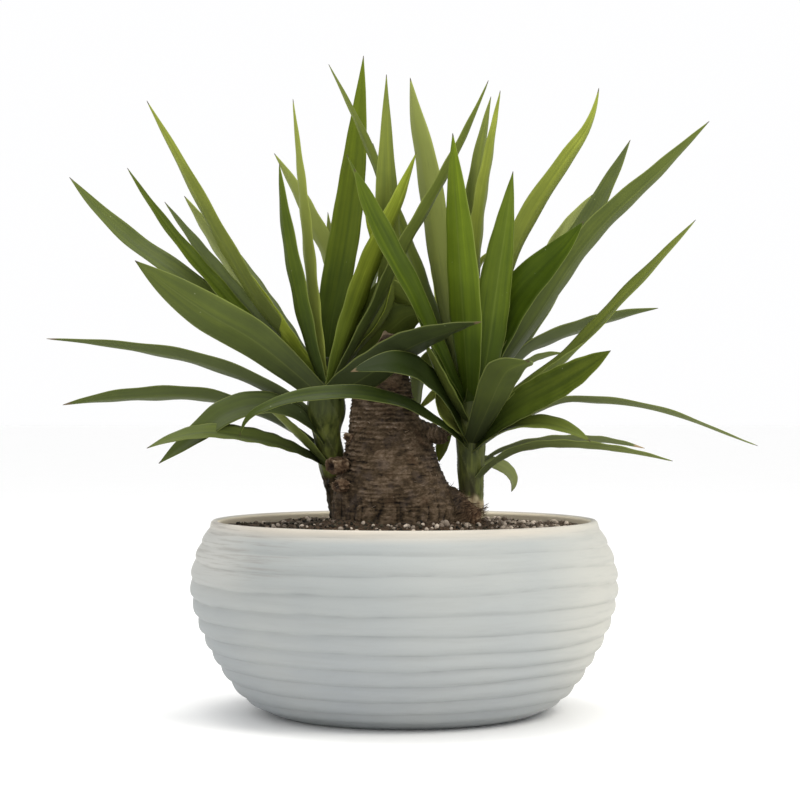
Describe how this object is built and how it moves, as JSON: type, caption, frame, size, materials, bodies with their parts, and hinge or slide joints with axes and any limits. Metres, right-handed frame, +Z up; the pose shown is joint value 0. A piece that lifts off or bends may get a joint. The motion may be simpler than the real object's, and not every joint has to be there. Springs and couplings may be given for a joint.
{
  "type": "potted yucca",
  "caption": "Yucca with a sawn woody trunk and two shoots of long sword-shaped leaves, growing in a wide ribbed bowl planter filled with soil.",
  "frame": {"origin": "centre of the planter's flat underside, where it stands", "axes": "+Z up; -Y is the front that the picture shows; +X is the viewer's right, towards the lower, wider shoot"},
  "size_m": [0.8404, 0.502, 0.7861],
  "materials": {
    "pale_clay": "matte",
    "dark_soil": "matte",
    "bark": "matte",
    "green_leaf": "satin"
  },
  "bodies": {
    "root": {"pot": "pale_clay", "soil": "dark_soil", "trunk": "bark", "shoot_left": "green_leaf", "shoot_right": "green_leaf"}
  },
  "joints": []
}
